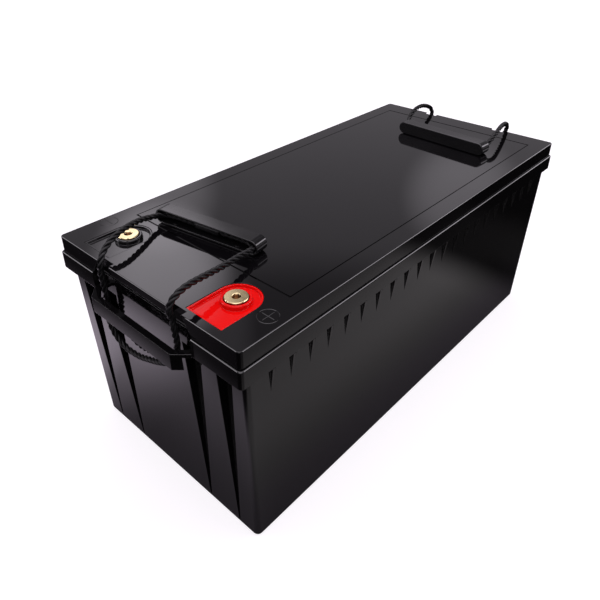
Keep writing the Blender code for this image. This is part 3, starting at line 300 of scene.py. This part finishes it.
REAR_LOOP = [(262.0, 50.4, 207.3), (261.0, 50.0, 197.0), (260.3, 50.2, 186.0), (260.1, 51.0, 175.0),
             (259.8, 52.0, 163.0), (259.2, 50.4, 152.0), (258.4, 41.0, 142.6), (257.8, 24.0, 136.2),
             (257.6, 2.0, 134.2), (257.8, -20.0, 136.6), (258.6, -40.0, 143.4), (259.4, -51.0, 153.0),
             (260.0, -52.8, 165.0), (260.2, -51.0, 177.0), (260.4, -51.0, 188.0), (261.0, -52.6, 199.0),
             (262.0, -54.4, 207.3)]

ROPE_RADIUS = 2.8 * MM
STRAND_RADIUS = 1.36 * MM
STRAND_LAY = 19 * MM               # length of one full turn of a strand
ROPE_STEP = 1.0 * MM
WELD = 1e-6
FLAT = math.radians(0.6)


def smooth_route(points, spacing):
    """Even points along a Catmull-Rom curve through the given ones."""
    pts = [Vector(p) for p in points]
    pts = [2 * pts[0] - pts[1]] + pts + [2 * pts[-1] - pts[-2]]
    fine = []
    for i in range(1, len(pts) - 2):
        p0, p1, p2, p3 = pts[i - 1:i + 3]
        for step in range(24):
            t = step / 24
            fine.append(0.5 * (2 * p1 + (p2 - p0) * t + (2 * p0 - 5 * p1 + 4 * p2 - p3) * t * t
                               + (3 * p1 - p0 - 3 * p2 + p3) * t * t * t))
    fine.append(pts[-2])
    lengths = [0.0]
    for a, b in zip(fine, fine[1:]):
        lengths.append(lengths[-1] + (b - a).length)
    count = max(2, round(lengths[-1] / spacing))
    out = []
    k = 0
    for i in range(count + 1):
        target = lengths[-1] * i / count
        while k < len(fine) - 2 and lengths[k + 1] < target:
            k += 1
        part = (target - lengths[k]) / (lengths[k + 1] - lengths[k])
        out.append(fine[k].lerp(fine[k + 1], min(1.0, part)))
    return out


def frames_along(path):
    """A steady pair of cross axes at each point of a path."""
    tangents = []
    for i in range(len(path)):
        a, b = path[max(0, i - 1)], path[min(len(path) - 1, i + 1)]
        tangents.append((b - a).normalized())
    side = tangents[0].orthogonal().normalized()
    made = []
    for tangent in tangents:
        side = (side - tangent * side.dot(tangent)).normalized()
        made.append((tangent, side, tangent.cross(side)))
    return made


def sweep(bm, path, radius, around=10, closed_ends=True):
    """Tube along a path."""
    rings = []
    for point, (tangent, u, v) in zip(path, frames_along(path)):
        rings.append([bm.verts.new(point + radius * (u * math.cos(2 * math.pi * k / around)
                                                     + v * math.sin(2 * math.pi * k / around)))
                      for k in range(around)])
    for low, high in zip(rings, rings[1:]):
        for k in range(around):
            j = (k + 1) % around
            bm.faces.new((low[k], low[j], high[j], high[k]))
    if closed_ends:
        bm.faces.new(list(reversed(rings[0])))
        bm.faces.new(rings[-1])


def new_object(name, bm, mat, smooth=40):
    bmesh.ops.recalc_face_normals(bm, faces=bm.faces)
    mesh = bpy.data.meshes.new(name)
    bm.to_mesh(mesh)
    bm.free()
    mesh.materials.append(mat)
    mesh.shade_smooth()
    mesh.set_sharp_from_angle(angle=math.radians(smooth))
    obj = bpy.data.objects.new(name, mesh)
    scene.collection.objects.link(obj)
    return obj


BEVEL_ANGLE = math.radians(30)             # edges sharper than this are rounded
LID_TOP = 219 * MM
LID_HALF = (259.3 * MM, 118.3 * MM)
LID_EDGE = 1.2 * MM
LID_CORNER = 3.5 * MM
LID_CORE = (LID_HALF[0] - LID_CORNER, LID_HALF[1] - LID_CORNER)    # centres of the corners
LID_ROUND = (30, 60)                       # degrees of the round that become the facet
FACET = 0.6 * MM
GROOVE_OPEN = 0.7                          # how much wider the panel groove is made, as a share
GROOVE_DEEPER = 0.4 * MM
PANEL = (-189 * MM, 232 * MM, 99 * MM)     # front, rear and half width of the lid's panel
PANEL_GROOVE = 1.2 * MM                    # room for the groove's edges, across and down


def sharpen_lid(bm):
    """Turn the round of the lid's top edge into a small flat facet, and open the panel groove a little."""
    for vert in bm.verts:
        x, y, z = vert.co
        core = Vector((max(-LID_CORE[0], min(LID_CORE[0], x)), max(-LID_CORE[1], min(LID_CORE[1], y)), z))
        outward = vert.co - core
        inset = LID_CORNER - outward.length
        rise = (z - (LID_TOP - LID_EDGE)) / LID_EDGE
        if 0.01 < rise < 0.99 and inset < LID_EDGE:
            turn = math.degrees(math.asin(rise))
            share = max(0.0, min(1.0, (turn - LID_ROUND[0]) / (LID_ROUND[1] - LID_ROUND[0])))
            new_inset = inset if turn > LID_ROUND[1] else FACET * share
            vert.co = core + outward.normalized() * (LID_CORNER - new_inset)
            if turn > LID_ROUND[0] - 0.1:
                vert.co.z = LID_TOP - FACET * (1 - share)
        elif z > LID_TOP - PANEL_GROOVE:
            off_x, off_y = min((x - c for c in PANEL[:2]), key=abs), abs(y) - PANEL[2]
            if abs(off_x) < PANEL_GROOVE:
                vert.co.x += GROOVE_OPEN * off_x
            if abs(off_y) < PANEL_GROOVE:
                vert.co.y += math.copysign(GROOVE_OPEN * off_y, y)
            if z < LID_TOP - WELD and min(abs(off_x), abs(off_y)) < PANEL_GROOVE:
                vert.co.z -= GROOVE_DEEPER


def in_panel_groove(edge):
    """True for an edge of the thin groove round the lid's panel, which stays crisp."""
    for vert in edge.verts:
        x, y, z = vert.co
        near_x = min(abs(x - PANEL[0]), abs(x - PANEL[1]))
        near_y = abs(abs(y) - PANEL[2])
        if z < LID_TOP - PANEL_GROOVE or min(near_x, near_y) > 1.5 * PANEL_GROOVE:
            return False
    return True


def refined(name, node, mat, edge, reshape=None, crisp=None):
    """Copy of a CAD piece with rounded edges and smooth shading."""
    bm = bmesh.new()
    bm.from_mesh(nodes[node].data)
    bmesh.ops.remove_doubles(bm, verts=bm.verts, dist=WELD)
    if reshape:
        reshape(bm)
    bmesh.ops.dissolve_limit(bm, angle_limit=FLAT, verts=bm.verts, edges=bm.edges)
    weight = bm.edges.layers.float.new("bevel_weight_edge")
    for side in bm.edges:
        if side.is_manifold and side.calc_face_angle(0) > BEVEL_ANGLE:
            if crisp and crisp(side):
                side.smooth = False
            else:
                side[weight] = 1.0
    for face in bm.faces:
        face.smooth = True
    mesh = bpy.data.meshes.new(name)
    bm.to_mesh(mesh)
    bm.free()
    mesh.materials.clear()
    mesh.materials.append(mat)
    piece = bpy.data.objects.new(name, mesh)
    scene.collection.objects.link(piece)
    bevel = piece.modifiers.new("edges", "BEVEL")
    bevel.width = edge
    bevel.segments = 3
    bevel.limit_method = "WEIGHT"
    bevel.use_clamp_overlap = False
    normals = piece.modifiers.new("normals", "WEIGHTED_NORMAL")
    normals.keep_sharp = True
    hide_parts(node)
    return piece


def make_rope(name, left, loop, right, handle):
    """One closed rope: from the splice over the left leg, round the slack loop and back to the splice."""
    route = [Vector(p) * MM for p in list(reversed(left)) + loop + list(reversed(right))]
    path = smooth_route(route, ROPE_STEP)
    cross = frames_along(path)
    length = sum((b - a).length for a, b in zip(path, path[1:]))
    step = length / (len(path) - 1)
    bm = bmesh.new()
    offset = ROPE_RADIUS - STRAND_RADIUS
    for strand in range(3):
        line = []
        for i, (point, (tangent, u, v)) in enumerate(zip(path, cross)):
            angle = 2 * math.pi * (i * step / STRAND_LAY + strand / 3)
            line.append(point + offset * (u * math.cos(angle) + v * math.sin(angle)))
        sweep(bm, line, STRAND_RADIUS)
    rope = new_object(name, bm, rope_fibre)
    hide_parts(handle + "_rope_left", handle + "_rope_right", handle + "_rope_loop")
    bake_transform(rope)
    return rope


for made in (refined("lid_shell", "lid", lid_plastic, 0.2 * MM,
                     reshape=sharpen_lid, crisp=in_panel_groove),
             refined("case_shell", "container", wall_plastic, 0.3 * MM),
             refined("positive_tray", "positive_insert", red_plastic, 0.35 * MM),
             refined("negative_tray", "negative_insert", black_plastic, 0.35 * MM),
             refined("positive_stud", "positive_terminal", brass, 0.12 * MM),
             refined("negative_stud", "negative_terminal", brass, 0.12 * MM)):
    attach(made, "root")
for end in ("front", "rear"):
    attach(refined(end + "_handle_grip", end + "_grip", grip_plastic, 0.7 * MM), end + "_handle")

# ---------------------------------------------------------------- small details

MARK_RING = 8.5 * MM               # circle round the plus and the minus moulded in the lid
MARK_ARM = 6.3 * MM
MARK_RIDGE = 0.45 * MM             # radius of the ridge, sunk by part of itself
MARK_SUNK = 0.25 * MM
PLUS_AT = (-217.2 * MM, -103.8 * MM)
MINUS_AT = (-215.0 * MM, 107.6 * MM)
THREAD = (3.45 * MM, 0.32 * MM, 1.25 * MM, 7)          # radius, ridge, pitch, turns
THREAD_START = 1.0 * MM            # below the face of the stud
TAB = (1.3 * MM, 5.0 * MM, 1.5 * MM)                   # catch in the mouth of a grip: deep, long, high
TAB_PLACE = (-5.2 * MM, 36 * MM, 4.6 * MM)             # across, along and up from the middle of the grip
GRIP_MIDDLES = {"front": (-168.5, 17.4, 8.75), "rear": (170.5, -18.0, 176.5)}
GRIP_MIDDLE_HEIGHT = 226.5 * MM


def make_mark(name, at, bars):
    """A sign in a ring, moulded as low round ridges on the lid."""
    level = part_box("lid")[1][2] - MARK_SUNK
    bm = bmesh.new()
    steps = 64
    ring = [Vector((at[0] + MARK_RING * math.cos(2 * math.pi * k / steps),
                    at[1] + MARK_RING * math.sin(2 * math.pi * k / steps), level)) for k in range(steps + 1)]
    sweep(bm, ring, MARK_RIDGE, 8, False)
    for dx, dy in bars:
        line = [Vector((at[0] + t * dx, at[1] + t * dy, level)) for t in (-MARK_ARM, 0.0, MARK_ARM)]
        sweep(bm, line, MARK_RIDGE, 8)
    mark = new_object(name, bm, lid_plastic)
    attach(mark, "root")


def make_thread(name, node):
    low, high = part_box(node)
    x, y = 0.5 * (low[0] + high[0]), 0.5 * (low[1] + high[1])
    radius, ridge, pitch, turns = THREAD
    steps = 28
    path = []
    for k in range(turns * steps + 1):
        angle = 2 * math.pi * k / steps
        path.append(Vector((x + radius * math.cos(angle), y + radius * math.sin(angle),
                            high[2] - THREAD_START - pitch * k / steps)))
    bm = bmesh.new()
    sweep(bm, path, ridge, 6)
    thread = new_object(name, bm, brass)
    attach(thread, "root")


def make_tabs(end):
    """Four small catches that keep the rope in the channel of a grip."""
    x, y, yaw = GRIP_MIDDLES[end]
    lay = (Matrix.Translation((x * MM, y * MM, GRIP_MIDDLE_HEIGHT))
           @ Matrix.Rotation(math.radians(yaw), 4, "Z"))
    bm = bmesh.new()
    for along in (-1, 1):
        for up in (-1, 1):
            at = Matrix.Translation((TAB_PLACE[0], along * TAB_PLACE[1], up * TAB_PLACE[2]))
            bmesh.ops.create_cube(bm, size=1.0, matrix=lay @ at @ Matrix.Diagonal((*TAB, 1.0)))
    bmesh.ops.bevel(bm, geom=bm.edges[:], offset=0.25 * MM, segments=2, profile=0.5, affect="EDGES")
    tabs = new_object(end + "_grip_catches", bm, grip_plastic)
    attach(tabs, end + "_handle")


make_mark("positive_mark", PLUS_AT, ((1, 0), (0, 1)))
make_mark("negative_mark", MINUS_AT, ((0, 1),))
make_thread("positive_thread", "positive_terminal")
make_thread("negative_thread", "negative_terminal")
make_tabs("front")
make_tabs("rear")

make_rope("front_rope", FRONT_LEFT, FRONT_LOOP, FRONT_RIGHT, "front")
make_rope("rear_rope", REAR_LEFT, REAR_LOOP, REAR_RIGHT, "rear")

# ---------------------------------------------------------------- floor and light

FLOOR_HALF = 6.0
FLOOR_ALBEDO = (0.36, 0.335, 0.365)
FLOOR_NEUTRAL = (0.315, 0.315, 0.30)
FLOOR_TURN = (-0.17, -0.12)         # the neutral tint starts this far to the right
SKY_TINT = (1.0, 0.94, 1.02, 1.0)
BACKDROP = (0.95, 0.95, 0.955, 1.0)
FLOOR_GLOW = 0.72
# In reflections the floor has painted shade beside the box and painted light on its +Y side, and it is darker
# further out and beyond a stretch of X at each end.
FLOOR_BOX = (0.250, 0.116)
FLOOR_NEAR = (0.0, 0.10)
FLOOR_NEAR_LEVEL = 0.36
FLOOR_AWAY = (0.13, 0.25)
FLOOR_AWAY_LEVEL = 0.25
FLOOR_LEFT = (0.04, 0.18)
FLOOR_LEFT_LEVEL = 2.6
FLOOR_REAR = (0.20, 0.30)
FLOOR_FRONT = (-0.40, -0.33)
FLOOR_FAR_LEVEL = 0.06
DUSK = (0.50, 0.58)                # height of the sky's rays over which the even level falls
DUSK_LEVELS = (0.36, 0.15)
DUSK_AZIMUTH = 48                  # the fall is only on one side of this
# azimuth, elevation, radius of the even middle, outer radius, strength
GLOWS = [(0, 90, 26, 44, 2.4),
         (57.5, 32.5, 1.5, 7.5, 1.9),
         (57, 25, 1.0, 6.5, 0.55),
         (25, 25, 1.0, 6.0, 0.5),
         (139, 29, 2, 8, 4.0),
         (129, 25, 2, 8, 4.0),
         (119, 20, 2, 8, 3.5),
         (-53, 35, 2, 8, 5.5),
         (-42, 29, 2, 8, 5.5),
         (-31, 24, 2, 8, 5.0),
         (-20, 17, 2, 8, 4.0),
         (215, 32, 6, 20, 1.2)]


def make_floor():
    """White to camera rays, with a light shadow; to other rays a grey that varies round the box, with painted
    shade beside it and painted light on its +Y side.
    """
    bm = bmesh.new()
    bmesh.ops.create_grid(bm, x_segments=1, y_segments=1, size=FLOOR_HALF)
    made = Shader("floor_paper", FLOOR_ALBEDO, 0.9, Specular_IOR_Level=0.0)
    made.bump(made.noise(300, 2), 0.00005, 0.3)
    place = made.node("ShaderNodeSeparateXYZ")
    made.link(made.object_coords(), place.inputs[0])
    x, y = place.outputs["X"], place.outputs["Y"]
    out_x = made.math("SUBTRACT", made.math("ABSOLUTE", x), FLOOR_BOX[0])
    out_y = made.math("SUBTRACT", made.math("ABSOLUTE", y), FLOOR_BOX[1])
    away = made.math("MAXIMUM", out_x, out_y)
    # painted shade beside the box, darker further out, painted light towards +Y, darker beyond X at each end
    levels = [made.soft_step(away, *FLOOR_NEAR, FLOOR_NEAR_LEVEL, 1.0),
              made.soft_step(away, *FLOOR_AWAY, 1.0, FLOOR_AWAY_LEVEL),
              made.soft_step(y, *FLOOR_LEFT, 1.0, FLOOR_LEFT_LEVEL),
              made.soft_step(x, *FLOOR_REAR, 1.0, FLOOR_FAR_LEVEL),
              made.soft_step(x, *FLOOR_FRONT, FLOOR_FAR_LEVEL, 1.0)]
    shade = levels[0]
    for level in levels[1:]:
        shade = made.math("MULTIPLY", shade, level)
    hue = made.node("ShaderNodeMix", data_type="VECTOR")
    hue.inputs[4].default_value = FLOOR_ALBEDO
    hue.inputs[5].default_value = FLOOR_NEUTRAL
    made.link(made.soft_step(y, *FLOOR_TURN, 1.0, 0.0), hue.inputs[0])
    tint = made.node("ShaderNodeVectorMath", operation="SCALE")
    made.link(hue.outputs[1], tint.inputs[0])
    made.link(shade, tint.inputs["Scale"])
    mirrored = made.node("ShaderNodeBsdfDiffuse")
    made.link(tint.outputs[0], mirrored.inputs["Color"])
    paper = made.node("ShaderNodeEmission")
    paper.inputs["Strength"].default_value = FLOOR_GLOW
    lit = made.node("ShaderNodeAddShader")
    made.link(made.bsdf.outputs[0], lit.inputs[0])
    made.link(paper.outputs[0], lit.inputs[1])
    ray = made.node("ShaderNodeLightPath")
    pick = made.node("ShaderNodeMixShader")
    made.link(ray.outputs["Is Camera Ray"], pick.inputs[0])
    made.link(mirrored.outputs[0], pick.inputs[1])
    made.link(lit.outputs[0], pick.inputs[2])
    made.link(pick.outputs[0], made.tree.nodes["Material Output"].inputs["Surface"])
    floor = new_object("floor", bm, made.mat)
    floor.location.z = -0.0006


def direction(azimuth, elevation):
    a, e = math.radians(azimuth), math.radians(elevation)
    return Vector((math.cos(a) * math.cos(e), math.sin(a) * math.cos(e), math.sin(e)))


class Sky:
    """Sum of soft round glows, each at an azimuth from +X and an elevation."""

    def __init__(self):
        world = bpy.data.worlds.new("studio")
        scene.world = world
        world.use_nodes = True
        self.tree = world.node_tree
        self.rays = self.tree.nodes.new("ShaderNodeTexCoord").outputs["Generated"]
        self.total = None

    def node(self, kind, operation, *sources):
        made = self.tree.nodes.new(kind)
        made.operation = operation
        for socket, source in zip(made.inputs, sources):
            if isinstance(source, bpy.types.NodeSocket):
                self.tree.links.new(source, socket)
            else:
                socket.default_value = source
        return made

    def along(self, axis):
        return self.node("ShaderNodeVectorMath", "DOT_PRODUCT", self.rays, axis).outputs["Value"]

    def step(self, value, low, high, to_low, to_high):
        made = self.tree.nodes.new("ShaderNodeMapRange")
        made.interpolation_type = "SMOOTHSTEP"
        for key, number in (("From Min", low), ("From Max", high), ("To Min", to_low), ("To Max", to_high)):
            made.inputs[key].default_value = number
        self.tree.links.new(value, made.inputs["Value"])
        return made.outputs["Result"]

    def math(self, operation, *sources):
        return self.node("ShaderNodeMath", operation, *sources).outputs["Value"]

    def add(self, value):
        self.total = value if self.total is None else self.math("ADD", self.total, value)

    def glow(self, azimuth, elevation, inner, outer, strength):
        near = self.along(direction(azimuth, elevation))
        self.add(self.step(near, math.cos(math.radians(outer)), math.cos(math.radians(inner)), 0.0, strength))

    def finish(self):
        back = self.tree.nodes["Background"]
        back.inputs["Color"].default_value = SKY_TINT
        self.tree.links.new(self.total, back.inputs["Strength"])
        wall = self.tree.nodes.new("ShaderNodeBackground")
        wall.inputs["Color"].default_value = BACKDROP
        ray = self.tree.nodes.new("ShaderNodeLightPath")
        pick = self.tree.nodes.new("ShaderNodeMixShader")
        output = self.tree.nodes["World Output"]
        for source, socket in ((ray.outputs["Is Camera Ray"], pick.inputs[0]),
                               (back.outputs[0], pick.inputs[1]), (wall.outputs[0], pick.inputs[2]),
                               (pick.outputs[0], output.inputs["Surface"])):
            self.tree.links.new(source, socket)


def make_light():
    sky = Sky()
    height = sky.along((0.0, 0.0, 1.0))
    low = sky.step(height, *DUSK, *DUSK_LEVELS)
    side = sky.step(sky.along(direction(DUSK_AZIMUTH - 90, 0)), -0.03, 0.05, 1.0, 0.0)
    sky.add(sky.math("MAXIMUM", low, sky.math("MULTIPLY", side, DUSK_LEVELS[0])))
    for glow in GLOWS:
        sky.glow(*glow)
    sky.finish()


make_floor()
make_light()
scene.view_settings.view_transform = "Standard"
